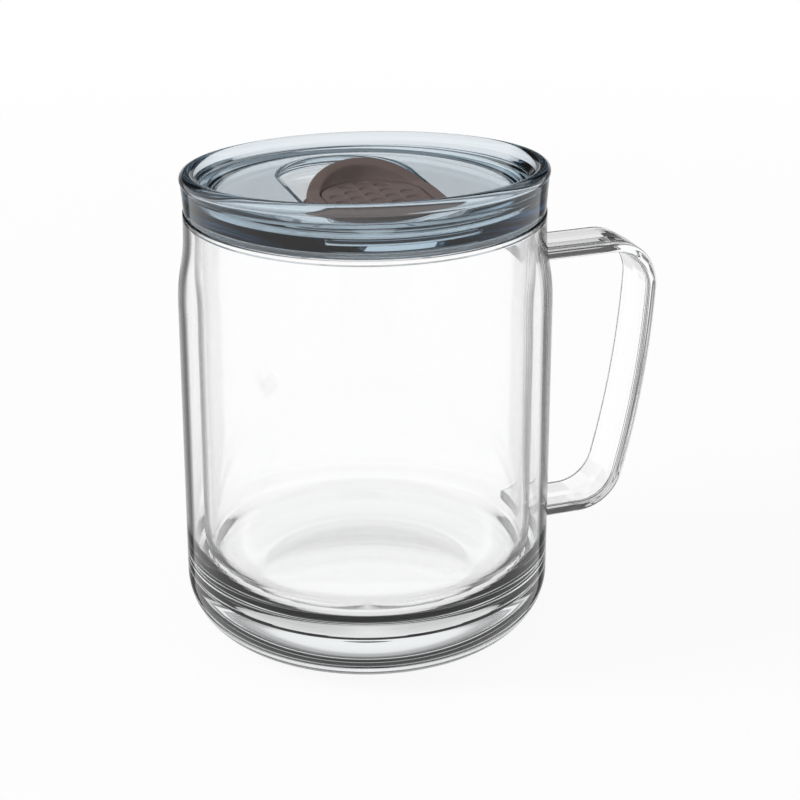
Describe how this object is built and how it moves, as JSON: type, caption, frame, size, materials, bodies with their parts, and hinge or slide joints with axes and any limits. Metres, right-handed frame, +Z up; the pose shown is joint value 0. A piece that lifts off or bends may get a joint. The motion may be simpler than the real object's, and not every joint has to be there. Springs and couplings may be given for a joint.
{
  "type": "insulated cup",
  "caption": "Clear double-wall cup with a thick base, a flat strap handle and a tinted press-on lid with a slanted lip and a thumb slide over its sip opening.",
  "frame": {"origin": "centre of the flat base, on the axis of the cup", "axes": "+Z up along the axis of the cup, +X towards the handle, -Y towards the drinking side of the lid"},
  "size_m": [0.123, 0.092, 0.1226],
  "materials": {
    "clear_body": "polished clear moulded plastic",
    "tinted_lid": "polished smoke-blue transparent moulded plastic",
    "slide": "satin taupe moulded plastic",
    "seal": "soft translucent silicone"
  },
  "bodies": {
    "cup": {"outer_shell": "clear_body", "inner_liner": "clear_body", "handle": "clear_body"},
    "lid": {"lid_cover": "tinted_lid", "lid_gasket": "seal"},
    "slide": {"slider": "slide", "slider_grip_pad": "slide", "slider_seal": "seal"}
  },
  "joints": [
    {"name": "lid_lift", "type": "slide", "parent": "cup", "child": "lid", "axis": [0, 0, 1], "range_m": [0, 0.06]},
    {"name": "slider_slide", "type": "slide", "parent": "lid", "child": "slide", "axis": [0.061, 0.9981, 0], "range_m": [0, 0.024]}
  ]
}
